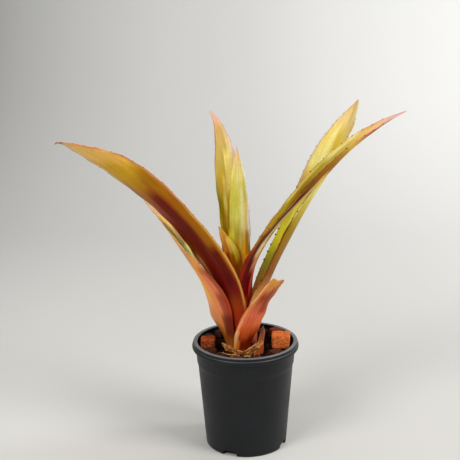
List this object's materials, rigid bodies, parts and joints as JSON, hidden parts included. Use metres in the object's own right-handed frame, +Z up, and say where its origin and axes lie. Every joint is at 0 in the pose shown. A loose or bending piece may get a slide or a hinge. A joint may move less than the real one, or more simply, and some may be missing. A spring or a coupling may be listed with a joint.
{
  "type": "potted bromeliad",
  "caption": "Young bromeliad with toothed strap leaves in a round nursery pot with a turned-down rim, potting mix and bark chips.",
  "frame": {"origin": "centre of the pot's base, on the surface the pot stands on", "axes": "+Z up along the pot's axis, -Y towards the front, +X to the right"},
  "size_m": [0.3201, 0.1466, 0.3356],
  "materials": {
    "pot_plastic": "satin",
    "potting_mix": "matte",
    "stem": "matte",
    "leaf": "satin",
    "leaf_sheath": "satin",
    "bark": "matte",
    "husk": "matte"
  },
  "bodies": {
    "root": {"pot": "pot_plastic", "potting_mix": "potting_mix", "stem": "stem", "leaf_left_front": "leaf", "leaf_left_back": "leaf", "leaf_back_tall": "leaf", "leaf_back_inner": "leaf", "leaf_heart": "leaf", "leaf_right": "leaf", "leaf_right_back": "leaf", "leaf_cut_stub": "leaf_sheath", "sheath_lobe": "leaf_sheath", "bark_chip_right": "bark", "bark_chip_right_rear": "bark", "bark_chip_rear_right": "bark", "bark_chip_rear": "bark", "bark_chip_rear_left": "bark", "bark_chip_left_rear": "bark", "bark_chip_left": "bark", "bark_chip_left_front": "bark", "bark_chip_front_left": "bark", "bark_chip_front": "bark", "bark_chip_front_right": "bark", "bark_chip_right_front": "bark", "husk_strip_left": "husk", "husk_strip_front": "husk", "husk_strip_right": "husk", "husk_strip_outer": "husk"}
  },
  "joints": []
}
